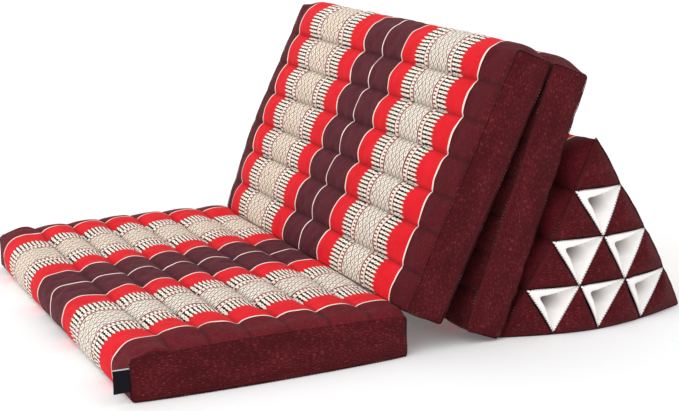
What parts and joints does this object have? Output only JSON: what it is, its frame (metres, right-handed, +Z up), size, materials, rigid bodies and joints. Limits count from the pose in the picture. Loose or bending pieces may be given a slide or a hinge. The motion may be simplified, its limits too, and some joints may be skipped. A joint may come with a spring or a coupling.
{
  "type": "thai triangle cushion with fold-out mats",
  "caption": "Triangular bolster cushion with hinged, channel-stitched mats laid out as a seat and a leaning backrest.",
  "frame": {"origin": "on the floor, under the middle of the whole cushion", "axes": "+X from the seat mat's free end to the bolster, +Y across the width, +Z up"},
  "size_m": [1.1813, 1.0486, 0.5495],
  "materials": {
    "woven_cotton": "woven cotton in red, maroon and cream bands with a plain dark red border",
    "bolster_cotton": "plain dark red cotton with a melange thread, matt",
    "pocket_cotton": "plain off-white cotton, matt",
    "label_satin": "black woven satin ribbon, blank"
  },
  "bodies": {
    "root": {"seat_mat": "woven_cotton", "back_mat": "woven_cotton", "rear_mat": "woven_cotton", "triangle_cushion": "bolster_cotton", "pocket_near_1": "pocket_cotton", "pocket_near_2": "pocket_cotton", "pocket_near_3": "pocket_cotton", "pocket_near_4": "pocket_cotton", "pocket_near_5": "pocket_cotton", "pocket_near_6": "pocket_cotton", "pocket_far_1": "pocket_cotton", "pocket_far_2": "pocket_cotton", "pocket_far_3": "pocket_cotton", "pocket_far_4": "pocket_cotton", "pocket_far_5": "pocket_cotton", "pocket_far_6": "pocket_cotton", "label_tab": "label_satin"}
  },
  "joints": []
}
